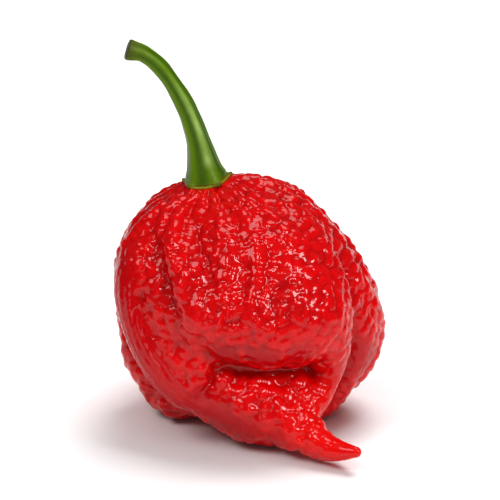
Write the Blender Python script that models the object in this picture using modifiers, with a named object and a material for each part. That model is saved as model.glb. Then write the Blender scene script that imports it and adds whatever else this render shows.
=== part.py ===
"""A Trinidad Moruga Scorpion pepper, as picked: a folded and pimpled red pod that lies on its belly, with
its tail curling forward and its green calyx and stalk on top.

Run it with blender --background --python part.py, or from Blender's text editor. The scene is in metres,
+Z up, and the tail points to -Y and +X. The numbers below are in millimetres, and the finished meshes are
scaled.
"""

import math

import bmesh
import bpy
import numpy as np
from mathutils import Matrix, Vector, noise
from mathutils.kdtree import KDTree

MM = 0.001
TINY = 1e-9

# The point of the floor that lies under the middle of the whole pepper.
MIDDLE = (0.18, 0.54)

# Each lobe of the pod is a row of balls, (x, y, z, radius), from under the calyx down, on one curve.
LOBES = {
    "front_left": ((-3.6, 5.6, 24.1, 6.1), (-3.8, -0.6, 21.9, 7.4), (-3.2, -4.2, 17.8, 7.0)),
    "front_middle": ((-1.2, 5.6, 24.2, 6.3), (0.4, -1.0, 22.0, 7.3), (1.0, -4.6, 18.0, 6.9)),
    "front_right": ((0.8, 5.6, 24.0, 6.6), (4.2, 0.2, 21.6, 8.0), (5.6, -4.2, 18.0, 7.6)),
    "ridge": (
        (-9.6, 1.4, 27.0, 2.2),
        (-9.3, -3.4, 25.4, 2.2),
        (-8.0, -6.9, 22.4, 2.3),
        (-6.6, -8.9, 18.8, 2.6),
    ),
    "lip": (
        (-5.6, -4.0, 16.4, 4.5),
        (-1.8, -6.8, 16.7, 5.3),
        (4.2, -7.6, 16.9, 5.5),
        (8.2, -5.0, 16.6, 4.9),
    ),
    "knuckle": ((9.8, -8.2, 18.6, 2.0), (10.7, -7.5, 14.6, 2.6), (10.4, -6.8, 11.8, 2.4)),
    "left": (
        (-6.5, 5.0, 23.8, 6.3),
        (-10.3, 1.2, 21.6, 6.7),
        (-10.2, -1.8, 16.3, 5.9),
        (-8.4, -4.6, 11.0, 4.8),
        (-5.0, -6.4, 7.2, 4.2),
    ),
    "left_inner": ((-7.4, -2.4, 18.4, 6.2), (-7.6, -5.0, 13.0, 5.3), (-5.8, -6.2, 9.6, 5.0)),
    "crescent": (
        (-12.4, 1.0, 25.2, 2.6),
        (-14.4, -2.2, 21.6, 2.6),
        (-14.6, -4.2, 18.0, 2.4),
        (-13.2, -6.2, 13.8, 2.4),
        (-10.9, -7.6, 10.4, 2.5),
        (-8.4, -8.0, 7.9, 2.5),
    ),
    "under_left": (
        (-8.0, 7.0, 22.1, 7.2),
        (-11.4, 4.2, 14.0, 5.8),
        (-11.0, 2.0, 9.0, 5.7),
        (-8.6, 0.6, 5.6, 5.82),
    ),
    "right": (
        (3.6, 5.4, 23.2, 6.4),
        (8.3, 3.4, 18.6, 6.8),
        (11.2, 2.0, 14.0, 6.4),
        (11.0, 1.8, 10.0, 6.3),
        (7.4, 0.2, 5.7, 5.95),
    ),
    "back_left": ((-4.0, 9.0, 22.6, 6.5), (-5.0, 11.5, 15.0, 6.6), (-3.5, 8.0, 6.4, 6.7)),
    "back_right": ((2.4, 8.5, 22.6, 6.4), (5.0, 11.0, 15.0, 6.8), (5.0, 7.0, 6.4, 6.7)),
    "tail": (
        (0.8, -3.2, 8.2, 6.2),
        (1.6, -6.6, 5.2, 5.4),
        (4.1, -9.9, 4.6, 3.6),
        (7.9, -13.0, 3.0, 2.15),
        (11.2, -15.0, 2.4, 1.5),
        (14.0, -16.8, 2.95, 0.75),
    ),
    "tail_root": ((-4.6, -5.6, 8.0, 4.2), (-2.2, -7.0, 6.3, 4.5), (0.4, -8.0, 5.6, 4.8)),
    "tail_top": ((3.6, -4.6, 8.2, 4.4), (5.8, -7.8, 6.4, 3.6), (6.4, -11.0, 4.3, 2.1)),
    "tail_edge": (
        (10.8, -5.8, 12.0, 2.3),
        (10.4, -7.0, 9.2, 1.8),
        (8.9, -9.0, 7.1, 1.6),
        (7.4, -11.2, 5.3, 1.6),
        (8.6, -12.9, 3.7, 1.4),
    ),
    "core": ((0.0, 4.0, 20.2, 8.3), (0.0, 3.0, 15.0, 11.0), (0.0, 2.0, 9.0, 8.5)),
}

# Furrows between the folds, each along points on the skin, (x, y, z, depth), from the calyx's side down.
FURROWS = {
    "beside_ridge": (
        (-12.5, -0.8, 28.7, 0.3),
        (-12.5, -3.3, 27.1, 0.8),
        (-11.7, -5.9, 25.1, 1.0),
        (-10.8, -8.0, 22.4, 1.1),
        (-9.6, -10.1, 19.2, 1.0),
        (-8.8, -10.1, 15.1, 0.3),
    ),
    "front": (
        (-7.5, 0.4, 30.0, 0.3),
        (-7.1, -3.0, 28.8, 0.8),
        (-6.3, -6.1, 27.0, 1.0),
        (-5.4, -8.2, 25.2, 0.8),
        (-5.4, -10.2, 22.5, 0.4),
        (-5.4, -12.0, 19.7, 0.1),
    ),
    "middle": ((-1.7, -0.6, 30.4, 0.1), (-1.3, -6.4, 27.6, 0.3), (-0.8, -10.1, 23.4, 0.3)),
    "right": (
        (10.4, -0.7, 26.8, 0.3),
        (12.1, -2.0, 24.2, 0.7),
        (13.3, -2.6, 21.3, 0.8),
        (14.0, -4.4, 18.0, 0.8),
        (13.7, -4.1, 13.7, 0.7),
        (13.1, -4.1, 9.6, 1.0),
        (11.2, -4.2, 4.6, 0.9),
        (9.9, -4.0, 2.4, 0.5),
    ),
    "under_lip": (
        (-0.5, -9.8, 11.8, 0.5),
        (-2.6, -10.2, 11.8, 1.0),
        (-4.2, -10.7, 11.2, 1.2),
        (-5.0, -11.2, 9.6, 1.1),
        (-6.7, -10.9, 7.7, 0.5),
    ),
    "under_crescent": (
        (-16.5, 0.2, 11.7, 0.5),
        (-15.4, -1.6, 8.8, 0.9),
        (-13.8, -3.0, 6.8, 0.9),
        (-11.7, -4.3, 4.8, 0.7),
    ),
    "beside_crescent": ((-15.0, -5.4, 22.6, 0.2), (-14.2, -6.9, 19.6, 0.6), (-12.9, -8.3, 16.1, 0.3)),
}
FURROW_WIDTH = 1.15  # from a furrow's middle to where it is about a third as deep
FURROW_STEPS = 8

CURVE_STEPS = 5  # balls along the curve between two of the balls above

# Where lobes meet they blend over this much: tight folds low down, shallow furrows on the shoulders.
FOLD_BLEND, SHOULDER_BLEND = 0.4, 1.0
FOLDS_BELOW, SHOULDERS_ABOVE = 11.0, 20.0

POD_GRAIN = 0.98  # side of the pod's mesh squares before they are relaxed
RELAX_ROUNDS = 8
RELAX_SHARE = 0.6
LANDING_ROUNDS = 3  # steps that end with every point on the skin

# Shallow ribs fan out from the calyx over the shoulders.
RIBS = 22
RIB_HEIGHT = 0.3
RIB_WANDER = 5.0  # radians that a rib strays to either side
WANDER_BENDS = 0.12  # bends of its way in a millimetre

# The pimples: larger and fewer than life, for the mesh to hold them.
PIMPLE_SPACING = 2.1
PIMPLE_RADIUS = 1.65
PIMPLE_HEIGHT = 0.55
PIMPLE_CLEAR_WAY = 0.9  # a pimple shrinks where a neighbouring fold is nearer than this
FOLD_ROOM = (0.2, 0.95)  # shares of that way which leave a pimple nothing and its full size
VALLEY_DEPTH = 0.5  # the valleys between pimples lie this far under the lobes' own surface
TIP_FADE = 9.0  # the pimples grow from nothing at the tail's tip to full size this far from it
FLOOR_FADE = (0.3, 1.5)  # and between these heights over the floor
CALYX_FADE = 5.0  # and from the calyx's margin to this far from its axis
CALYX_DEPTH = 8.0  # on skin that is less than this below it
SEED = 7

# The calyx sits on the shoulder, and the stalk leaves it up and then over to the left.
SEAT = (-5.4, 7.0, 30.0)
SEAT_AXIS = (-0.16, 0.13, 1.0)
STALK = (
    (-5.6, 7.2, 31.6),
    (-6.4, 7.8, 36.6),
    (-7.9, 8.5, 41.3),
    (-10.6, 9.0, 45.8),
    (-13.3, 9.1, 48.2),
    (-15.3, 9.1, 48.9),
)
STALK_RADIUS = 1.15
FLARE = 1.5  # added to the stalk's radius at the calyx
FLARE_LENGTH = 4.6
CALYX_RADIUS = 2.85
TEETH = 5
TEETH_TURN = 0.2  # radians that the first tooth is turned from +X
TOOTH_LENGTH = 0.75
TOOTH_LIFT = 0.4
CALYX_GAP = 0.3  # between the calyx and the pod
DRAPE_ROUNDS = 12  # steps that lay the calyx on the pod's skin
RIDGE_SHARE = 0.05  # how far the stalk's five ridges stand out, as a share of its radius
KNOB = 0.15  # added to the stalk's radius at its cut end
KNOB_LENGTH = 1.2
SIDES = 40
STALK_STEPS = 4  # rings between two of the stalk's points

RED = (0.62, 0.006, 0.008)
GREEN = (0.085, 0.19, 0.018)


def smoothstep(low, high, values):
    share = np.clip((values - low) / (high - low), 0.0, 1.0)
    return share * share * (3.0 - 2.0 * share)


def curve_through(rows, steps):
    """Points of a Catmull-Rom curve through the rows, which may hold a radius beside x, y and z."""
    rows = np.array(rows, float)
    rows = np.vstack([2 * rows[0] - rows[1], rows, 2 * rows[-1] - rows[-2]])
    found = []
    for a, b, c, d in zip(rows, rows[1:], rows[2:], rows[3:]):
        for t in np.arange(steps) / steps:
            bend = (2 * a - 5 * b + 4 * c - d) * t * t + (3 * b - a - 3 * c + d) * t**3
            found.append(0.5 * (2 * b + (c - a) * t + bend))
    found.append(rows[-2])
    return np.array(found)


CURVES = [curve_through(balls, CURVE_STEPS) for balls in LOBES.values()]
TAIL = list(LOBES).index("tail")


def lobe_skin(points, curve):
    """Each point's distance to a lobe, taken as tapered rods between its balls, and the way out."""
    nearest = np.full(len(points), np.inf)
    outward = np.zeros((len(points), 3))
    for start, end in zip(curve, curve[1:]):
        way = end[:3] - start[:3]
        length_squared = way @ way
        share = (points - start[:3]) @ way / length_squared
        beside = (share > 0.0) & (share < 1.0)
        share = np.clip(share, 0.0, 1.0)
        offset = points - start[:3] - share[:, None] * way
        from_rod = np.linalg.norm(offset, axis=1)
        widening = end[3] - start[3]
        distance = from_rod - start[3] - share * widening
        slope = offset / np.maximum(from_rod, TINY)[:, None]
        slope = slope - np.outer(beside, way * widening / length_squared)
        nearer = distance < nearest
        nearest[nearer] = distance[nearer]
        outward[nearer] = slope[nearer]
    return nearest, outward


def pod_skin(points):
    """Each point's distance to the pod's skin, below zero inside, and the way out, with lobes blended."""
    skins = [lobe_skin(points, curve) for curve in CURVES]
    distances = np.array([distance for distance, _ in skins])
    nearest = distances.min(axis=0)
    softness = smoothstep(FOLDS_BELOW, SHOULDERS_ABOVE, points[:, 2])
    blend = FOLD_BLEND + (SHOULDER_BLEND - FOLD_BLEND) * softness
    weights = np.exp((nearest - distances) / blend)
    distance = nearest - blend * np.log(weights.sum(axis=0))
    outward = sum(weight[:, None] * way for weight, (_, way) in zip(weights, skins))
    return distance, outward / np.linalg.norm(outward, axis=1, keepdims=True)


def rough_pod():
    """One closed mesh around the balls of every lobe, in small squares."""
    bm = bmesh.new()
    for curve in CURVES:
        for x, y, z, radius in curve:
            place = Matrix.Translation((x, y, z))
            # Balls smaller than the grain would come apart, so the tail's tip starts out thicker.
            bmesh.ops.create_icosphere(bm, subdivisions=2, radius=max(radius, POD_GRAIN), matrix=place)
    balls = bpy.data.meshes.new("balls")
    bm.to_mesh(balls)
    bm.free()
    guide = bpy.data.objects.new("balls", balls)
    bpy.context.scene.collection.objects.link(guide)
    remesh = guide.modifiers.new("Remesh", "REMESH")
    remesh.mode = "VOXEL"
    remesh.voxel_size = POD_GRAIN
    mesh = bpy.data.meshes.new_from_object(guide.evaluated_get(bpy.context.evaluated_depsgraph_get()))
    bpy.data.objects.remove(guide)
    return mesh


def vertices_of(mesh):
    flat = np.empty(len(mesh.vertices) * 3)
    mesh.vertices.foreach_get("co", flat)
    return flat.reshape(-1, 3)


def edges_of(mesh):
    flat = np.empty(len(mesh.edges) * 2, int)
    mesh.edges.foreach_get("vertices", flat)
    return flat.reshape(-1, 2)


def settle(points, edges):
    """Evens out the points over the pod's skin and draws them onto it, with one at the tail's very tip."""
    before, last = CURVES[TAIL][-2:]
    way = last[:3] - before[:3]
    tip = last[:3] + last[3] * way / np.linalg.norm(way)
    foremost = np.linalg.norm(points - tip, axis=1).argmin()
    ends = np.concatenate([edges, edges[:, ::-1]])
    count = np.bincount(ends[:, 0], minlength=len(points))[:, None]
    for _ in range(RELAX_ROUNDS):
        points[foremost] = tip
        distance, outward = pod_skin(points)
        points = points - distance[:, None] * outward
        totals = [np.bincount(ends[:, 0], points[ends[:, 1], axis], len(points)) for axis in range(3)]
        pull = np.array(totals).T / count - points
        points = points + RELAX_SHARE * (pull - (pull * outward).sum(axis=1, keepdims=True) * outward)
    for _ in range(LANDING_ROUNDS):
        distance, outward = pod_skin(points)
        points = points - distance[:, None] * outward
    points[foremost] = tip
    return points


def scattered(points, spacing):
    """Some of the points, picked at random, none nearer to another than the spacing."""
    tree = KDTree(len(points))
    for index, point in enumerate(points):
        tree.insert(point, index)
    tree.balance()
    free = np.ones(len(points), bool)
    picked = []
    for index in np.random.default_rng(SEED).permutation(len(points)):
        if not free[index]:
            continue
        picked.append(index)
        for _, near, _ in tree.find_range(points[index], spacing):
            free[near] = False
    return points[picked]


def furrow_depths(points):
    """How far the furrows sink the skin at each point."""
    depths = np.zeros(len(points))
    for row in FURROWS.values():
        for *place, depth in curve_through(row, FURROW_STEPS):
            away = np.linalg.norm(points - place, axis=1)
            depths = np.maximum(depths, depth * np.exp(-((away / FURROW_WIDTH) ** 2)))
    return depths


def ribs(points):
    """How high the shallow ribs stand at each point, from 0 to 1."""
    around = np.arctan2(points[:, 1] - SEAT[1], points[:, 0] - SEAT[0])
    sway = np.array([noise.noise(Vector(point) * WANDER_BENDS) for point in points])
    return 0.5 + 0.5 * np.cos(RIBS * around + RIB_WANDER * sway)


def pimples(points, centres, strength):
    """How high the pimples stand at each point: a round dome on each centre, with valleys between."""
    tree = KDTree(len(centres))
    for index, centre in enumerate(centres):
        tree.insert(centre, index)
    tree.balance()
    away = np.array([tree.find(point)[2] for point in points])
    return PIMPLE_HEIGHT * strength * np.clip(1.0 - (away / PIMPLE_RADIUS) ** 2, 0.0, 1.0)


def pimpled_share(points):
    """1 where pimples stand free, and 0 under the calyx, at the tail's tip and where the pod rests."""
    axis = np.array(SEAT_AXIS) / np.linalg.norm(SEAT_AXIS)
    offset = points - np.array(SEAT)
    from_axis = np.linalg.norm(offset - np.outer(offset @ axis, axis), axis=1)
    on_top = offset[:, 2] > -CALYX_DEPTH
    outside = smoothstep(CALYX_RADIUS + TOOTH_LENGTH, CALYX_FADE, from_axis)
    off_tip = smoothstep(0.0, TIP_FADE, np.linalg.norm(points - CURVES[TAIL][-1, :3], axis=1))
    return np.where(on_top, outside, 1.0) * off_tip * smoothstep(*FLOOR_FADE, points[:, 2])


def finished(mesh, name, colour, roughness):
    """The mesh as a named object, in metres and with its material, its origin under the pepper's middle."""
    mesh.name = name
    mesh.transform(Matrix.Scale(MM, 4))
    mesh.shade_smooth()
    skin = bpy.data.materials.new(name)
    skin.use_nodes = True
    principled = skin.node_tree.nodes["Principled BSDF"]
    principled.inputs["Base Color"].default_value = (*colour, 1.0)
    principled.inputs["Roughness"].default_value = roughness
    principled.inputs["Metallic"].default_value = 0.0
    mesh.materials.clear()
    mesh.materials.append(skin)
    made = bpy.data.objects.new(name, mesh)
    made.location = (-MIDDLE[0] * MM, -MIDDLE[1] * MM, 0.0)
    return made


def pod():
    """The red pod: its lobes and folds, shallow ribs, pimples, and flat spots where it rests."""
    mesh = rough_pod()
    points = settle(vertices_of(mesh), edges_of(mesh))
    outward = pod_skin(points)[1]
    clear_way = pod_skin(points + PIMPLE_CLEAR_WAY * outward)[0] / PIMPLE_CLEAR_WAY
    strength = pimpled_share(points) * smoothstep(*FOLD_ROOM, clear_way)
    rise = strength * (RIB_HEIGHT * ribs(points) - VALLEY_DEPTH) - furrow_depths(points)
    rise = rise + pimples(points, scattered(points, PIMPLE_SPACING), strength)
    points = points + rise[:, None] * outward
    points[:, 2] = np.maximum(points[:, 2], 0.0)
    mesh.vertices.foreach_set("co", points.ravel())
    bm = bmesh.new()
    bm.from_mesh(mesh)
    bmesh.ops.triangulate(bm, faces=bm.faces, quad_method="SHORT_EDGE")
    bm.to_mesh(mesh)
    bm.free()
    return finished(mesh, "pod", RED, 0.25)


def ring_round(centre, radii, angles, across, along):
    return centre + np.outer(radii * np.cos(angles), across) + np.outer(radii * np.sin(angles), along)


def calyx_rings(angles, across, along):
    """The calyx: from the middle of its underside, over its toothed margin, to the foot of the stalk."""
    axis = np.cross(across, along)
    tooth = (0.5 + 0.5 * np.cos(TEETH * angles)) ** 4
    lift = TOOTH_LIFT * tooth
    margin = CALYX_RADIUS + TOOTH_LENGTH * tooth
    foot = STALK_RADIUS + FLARE
    profile = (
        (0.25 * margin, 0.0),
        (0.55 * margin, 0.0),
        (0.8 * margin, 0.25 * lift),
        (margin - 0.1, lift),
        (margin, 0.2 + lift),
        (margin - 0.12, 0.45 + lift),
        (0.45 * margin + 0.55 * foot, 0.62 + 0.3 * lift),
        (0.15 * margin + 0.85 * foot, 0.8),
    )
    rings = []
    for radii, height in profile:
        ring = ring_round(np.array(SEAT), radii, angles, across, along)
        for _ in range(DRAPE_ROUNDS):
            over_skin = pod_skin(ring)[0] - CALYX_GAP - height
            ring = ring - np.outer(over_skin, axis)
        rings.append(ring)
    return rings


def stalk_rings(angles, across, along):
    """Rings up the stalk: a flared foot, five faint ridges, and a wider cut end."""
    centres = curve_through(STALK, STALK_STEPS)
    steps = np.linalg.norm(np.diff(centres, axis=0), axis=1)
    lengths = np.concatenate([[0.0], np.cumsum(steps)])
    ways = np.gradient(centres, axis=0)
    rings = []
    # The stalk's lowest ring is the calyx's last.
    for centre, way, length in list(zip(centres, ways, lengths))[1:]:
        way = way / np.linalg.norm(way)
        across = across - (across @ way) * way
        across = across / np.linalg.norm(across)
        along = np.cross(way, across)
        flare = math.exp(-((length / FLARE_LENGTH) ** 1.3))
        knob = math.exp(-(((lengths[-1] - length) / KNOB_LENGTH) ** 2))
        radius = STALK_RADIUS + (FLARE - 0.1) * flare + KNOB * knob
        radii = radius * (1.0 + RIDGE_SHARE * np.cos(TEETH * angles))
        rings.append(ring_round(centre, radii, angles, across, along))
    end = rings[-1].mean(axis=0)
    rings.append(end + 0.8 * (rings[-1] - end) + 0.18 * way)
    rings.append(end + 0.4 * (rings[-2] - end) + 0.12 * way)
    return rings


def stem_and_calyx():
    """The green calyx and stalk in one piece, as a skin of rings closed by a point at each end."""
    axis = Vector(SEAT_AXIS).normalized()
    first_tooth = Vector((math.cos(TEETH_TURN), math.sin(TEETH_TURN), 0.0))
    along = np.array(axis.cross(first_tooth).normalized())
    across = np.cross(along, np.array(axis))
    angles = np.arange(SIDES) * (2.0 * math.pi / SIDES)
    rings = calyx_rings(angles, across, along) + stalk_rings(angles, across, along)
    bm = bmesh.new()
    loops = [[bm.verts.new(point) for point in ring] for ring in rings]
    for lower, upper in zip(loops, loops[1:]):
        for side in range(SIDES):
            after = (side + 1) % SIDES
            bm.faces.new((lower[side], lower[after], upper[after], upper[side]))
    for ring, order in ((loops[0], -1), (loops[-1], 1)):
        middle = bm.verts.new(sum((vert.co for vert in ring), Vector()) / SIDES)
        for side in range(SIDES):
            bm.faces.new((ring[side], ring[(side + 1) % SIDES], middle)[::order])
    bmesh.ops.triangulate(bm, faces=bm.faces)
    mesh = bpy.data.meshes.new("stem_and_calyx")
    bm.to_mesh(mesh)
    bm.free()
    return finished(mesh, "stem_and_calyx", GREEN, 0.45)


def main():
    for old in list(bpy.data.objects):
        bpy.data.objects.remove(old)
    pepper = bpy.data.collections.new("trinidad_moruga_scorpion_pepper")
    bpy.context.scene.collection.children.link(pepper)
    for piece in (pod(), stem_and_calyx()):
        pepper.objects.link(piece)


main()
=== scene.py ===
"""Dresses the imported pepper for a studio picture.

The red pod gets ribs, furrows and two sizes of pimples over the form of its solid, and the green
stalk its ridges, its toothed calyx and its cut end. Sizes are in millimetres until a finished mesh
is scaled to metres, which the frame is in.
"""

import math

import bmesh
import bpy
import numpy as np
from mathutils import Matrix, Vector, noise


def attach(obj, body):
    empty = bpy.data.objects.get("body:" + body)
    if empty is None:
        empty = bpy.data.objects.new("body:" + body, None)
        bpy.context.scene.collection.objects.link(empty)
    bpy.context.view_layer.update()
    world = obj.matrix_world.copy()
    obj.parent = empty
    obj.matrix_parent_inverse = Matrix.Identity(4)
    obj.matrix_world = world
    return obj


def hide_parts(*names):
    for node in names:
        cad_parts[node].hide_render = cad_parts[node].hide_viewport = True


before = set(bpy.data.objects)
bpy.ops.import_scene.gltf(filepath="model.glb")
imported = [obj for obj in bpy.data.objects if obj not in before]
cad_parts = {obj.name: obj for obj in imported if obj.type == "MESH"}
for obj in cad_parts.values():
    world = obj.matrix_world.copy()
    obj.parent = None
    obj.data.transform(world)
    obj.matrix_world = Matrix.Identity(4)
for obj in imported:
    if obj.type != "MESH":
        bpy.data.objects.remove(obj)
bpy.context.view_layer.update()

MM = 0.001
TINY = 1e-9  # keeps a division by a distance off zero

# The point of the floor that lies under the middle of the whole pepper.
MIDDLE = (0.18, 0.54)

# The pod's form, as in the solids: each lobe is a row of balls, (x, y, z, radius), from under the
# calyx down.
LOBES = {
    "front_left": ((-3.6, 5.6, 24.1, 6.1), (-3.8, -0.6, 21.9, 7.4), (-3.2, -4.2, 17.8, 7.0)),
    "front_middle": ((-1.2, 5.6, 24.2, 6.3), (0.4, -1.0, 22.0, 7.3), (1.0, -4.6, 18.0, 6.9)),
    "front_right": ((0.8, 5.6, 24.0, 6.6), (4.2, 0.2, 21.6, 8.0), (5.6, -4.2, 18.0, 7.6)),
    "ridge": (
        (-9.6, 1.4, 27.0, 2.2),
        (-9.3, -3.4, 25.4, 2.2),
        (-8.0, -6.9, 22.4, 2.3),
        (-6.6, -8.9, 18.8, 2.6),
    ),
    "lip": (
        (-5.6, -4.0, 16.4, 4.5),
        (-1.8, -6.8, 16.7, 5.3),
        (4.2, -7.6, 16.9, 5.5),
        (8.2, -5.0, 16.6, 4.9),
    ),
    "knuckle": ((9.8, -8.2, 18.6, 2.0), (10.7, -7.5, 14.6, 2.6), (10.4, -6.8, 11.8, 2.4)),
    "left": (
        (-6.5, 5.0, 23.8, 6.3),
        (-10.3, 1.2, 21.6, 6.7),
        (-10.2, -1.8, 16.3, 5.9),
        (-8.4, -4.6, 11.0, 4.8),
        (-5.0, -6.4, 7.2, 4.2),
    ),
    "left_inner": ((-7.4, -2.4, 18.4, 6.2), (-7.6, -5.0, 13.0, 5.3), (-5.8, -6.2, 9.6, 5.0)),
    "crescent": (
        (-12.4, 1.0, 25.2, 2.6),
        (-14.4, -2.2, 21.6, 2.6),
        (-14.6, -4.2, 18.0, 2.4),
        (-13.2, -6.2, 13.8, 2.4),
        (-10.9, -7.6, 10.4, 2.5),
        (-8.4, -8.0, 7.9, 2.5),
    ),
    "under_left": (
        (-8.0, 7.0, 22.1, 7.2),
        (-11.4, 4.2, 14.0, 5.8),
        (-11.0, 2.0, 9.0, 5.7),
        (-8.6, 0.6, 5.6, 5.82),
    ),
    "right": (
        (3.6, 5.4, 23.2, 6.4),
        (8.3, 3.4, 18.6, 6.8),
        (11.2, 2.0, 14.0, 6.4),
        (11.0, 1.8, 10.0, 6.3),
        (7.4, 0.2, 5.7, 5.95),
    ),
    "back_left": ((-4.0, 9.0, 22.6, 6.5), (-5.0, 11.5, 15.0, 6.6), (-3.5, 8.0, 6.4, 6.7)),
    "back_right": ((2.4, 8.5, 22.6, 6.4), (5.0, 11.0, 15.0, 6.8), (5.0, 7.0, 6.4, 6.7)),
    "tail": (
        (0.8, -3.2, 8.2, 6.2),
        (1.6, -6.6, 5.2, 5.4),
        (4.1, -9.9, 4.6, 3.6),
        (7.9, -13.0, 3.0, 2.15),
        (11.2, -15.0, 2.4, 1.5),
        (14.0, -16.8, 2.95, 0.75),
    ),
    "tail_root": ((-4.6, -5.6, 8.0, 4.2), (-2.2, -7.0, 6.3, 4.5), (0.4, -8.0, 5.6, 4.8)),
    "tail_top": ((3.6, -4.6, 8.2, 4.4), (5.8, -7.8, 6.4, 3.6), (6.4, -11.0, 4.3, 2.1)),
    "tail_edge": (
        (10.8, -5.8, 12.0, 2.3),
        (10.4, -7.0, 9.2, 1.8),
        (8.9, -9.0, 7.1, 1.6),
        (7.4, -11.2, 5.3, 1.6),
        (8.6, -12.9, 3.7, 1.4),
    ),
    "core": ((0.0, 4.0, 20.2, 8.3), (0.0, 3.0, 15.0, 11.0), (0.0, 2.0, 9.0, 8.5)),
}

# Furrows between the folds, each along points on the skin, (x, y, z, depth), from the calyx's
# side down.
FURROWS = {
    "beside_ridge": (
        (-12.5, -0.8, 28.7, 0.3),
        (-12.5, -3.3, 27.1, 0.8),
        (-11.7, -5.9, 25.1, 1.0),
        (-10.8, -8.0, 22.4, 1.1),
        (-9.6, -10.1, 19.2, 1.0),
        (-8.8, -10.1, 15.1, 0.3),
    ),
    "front": (
        (-7.5, 0.4, 30.0, 0.3),
        (-7.1, -3.0, 28.8, 0.8),
        (-6.3, -6.1, 27.0, 1.0),
        (-5.4, -8.2, 25.2, 0.8),
        (-5.4, -10.2, 22.5, 0.4),
        (-5.4, -12.0, 19.7, 0.1),
    ),
    "middle": ((-1.7, -0.6, 30.4, 0.1), (-1.3, -6.4, 27.6, 0.3), (-0.8, -10.1, 23.4, 0.3)),
    "right": (
        (10.4, -0.7, 26.8, 0.3),
        (12.1, -2.0, 24.2, 0.7),
        (13.3, -2.6, 21.3, 0.8),
        (14.0, -4.4, 18.0, 0.8),
        (13.7, -4.1, 13.7, 0.7),
        (13.1, -4.1, 9.6, 1.0),
        (11.2, -4.2, 4.6, 0.9),
        (9.9, -4.0, 2.4, 0.5),
    ),
    "under_lip": (
        (-0.5, -9.8, 11.8, 0.5),
        (-2.6, -10.2, 11.8, 1.0),
        (-4.2, -10.7, 11.2, 1.2),
        (-5.0, -11.2, 9.6, 1.1),
        (-6.7, -10.9, 7.7, 0.5),
    ),
    "under_crescent": (
        (-16.5, 0.2, 11.7, 0.5),
        (-15.4, -1.6, 8.8, 0.9),
        (-13.8, -3.0, 6.8, 0.9),
        (-11.7, -4.3, 4.8, 0.7),
    ),
    "beside_crescent": (
        (-15.0, -5.4, 22.6, 0.2),
        (-14.2, -6.9, 19.6, 0.6),
        (-12.9, -8.3, 16.1, 0.3),
    ),
}
FURROW_WIDTH = 1.15
FURROW_STEPS = 8  # points along a furrow from one of the points above to the next
CURVE_STEPS = 5  # balls along a lobe from one of the balls above to the next

# Where lobes meet they blend over this much: tight folds low down, shallow ones on the shoulders.
FOLD_BLEND = 0.4
SHOULDER_BLEND = 1.0
FOLDS_BELOW = 11.0
SHOULDERS_ABOVE = 20.0

POD_GRAIN = 0.98  # side of the pod's mesh squares before they are relaxed
BALL_SUBDIVISIONS = 2
RELAX_ROUNDS = 8
RELAX_SHARE = 0.6
LANDING_ROUNDS = 3  # steps that end with every point on the skin
FINER_LEVELS = 2

# The skin's relief, and where it fades.
VALLEY_DEPTH = 0.32  # the skin between pimples lies this far under the lobes' own surface
CLEAR_WAY = 0.9  # relief shrinks where a neighbouring fold is nearer than this
FOLD_ROOM = (0.2, 0.95)  # shares of that way which leave relief nothing and its full height
TIP_FADE = 8.0  # relief grows from nothing at the tail's tip to full height this far from it
FLOOR_FADE = (0.2, 1.2)  # and between these heights over the floor
CALYX_FADE = 3.6  # and from under the calyx's margin to this far from its axis
CALYX_OVERLAP = 0.4  # which begins this far inside the margin
CALYX_DEPTH = 8.0  # on skin that is less than this below the calyx
FURROW_SHADE = 0.7  # how much painted shade a furrow gets for each millimetre of its depth
TAIL_LIGHT_FADE = (15.0, 5.0)  # the tail's painted light begins and is whole this far from its tip

# Shallow ribs fan out from the calyx over the shoulders, and fine ones run along the smooth roll.
RIBS = 22
RIB_HEIGHT = 0.34
RIB_WANDER = 5.0  # radians that a rib strays to either side
RIB_BENDS = 0.12  # bends of its way in a millimetre
STREAKS = 16
STREAK_HEIGHT = 0.14
STREAK_WANDER = 3.0
STREAK_BENDS = 0.25

# The pimples, and the finer ones that are raised over them.
PIMPLES = {"Spacing": 1.5, "Radius": 1.2, "Height": 0.3, "Wander": 1.6, "Seed": 7}
FINE_PIMPLES = {"Spacing": 0.85, "Radius": 0.68, "Height": 0.11, "Wander": 0.8, "Seed": 11}
MOST_CENTRES = 30.0  # tried on each square millimetre, of which the spacing leaves a few
PIMPLE_BENDS = 0.55  # how often a pimple's outline bends in a millimetre
PATCH_BENDS = 0.28
PATCH_HEIGHTS = ((0.3, 0.7), (0.85, 1.15))  # noise, onto shares of a pimple's height
NOISE_DETAIL = 1.0
NOISE_MIDDLE = (0.5, 0.5, 0.5)

# Places with lower pimples, (x, y, z, radius, share): under the lip, low on the right, along the
# tail's root, and where the lip is broadest.
SMOOTH_PLACES = (
    (-2.9, -11.9, 14.4, 2.6, 1.0),
    (2.1, -12.9, 14.4, 2.8, 1.0),
    (6.7, -12.7, 15.0, 2.6, 1.0),
    (12.1, -7.7, 9.5, 3.8, 1.0),
    (14.2, -3.7, 10.0, 4.4, 1.0),
    (-6.2, -10.7, 6.6, 3.4, 1.0),
    (-3.7, -11.3, 5.2, 3.2, 1.0),
    (-0.4, -12.6, 4.0, 3.2, 1.0),
    (3.5, -13.6, 3.0, 2.6, 1.0),
    (6.6, -10.8, 22.6, 5.0, 0.3),
)
SMOOTHING = 0.8  # the share of its relief that a smooth place loses
SMOOTH_CORE = 0.35  # the share of its radius within which it is smoothest
ROLL_EDGE = (1.0, 0.25)  # the smooth roll begins and is whole this far off its own skin

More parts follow.
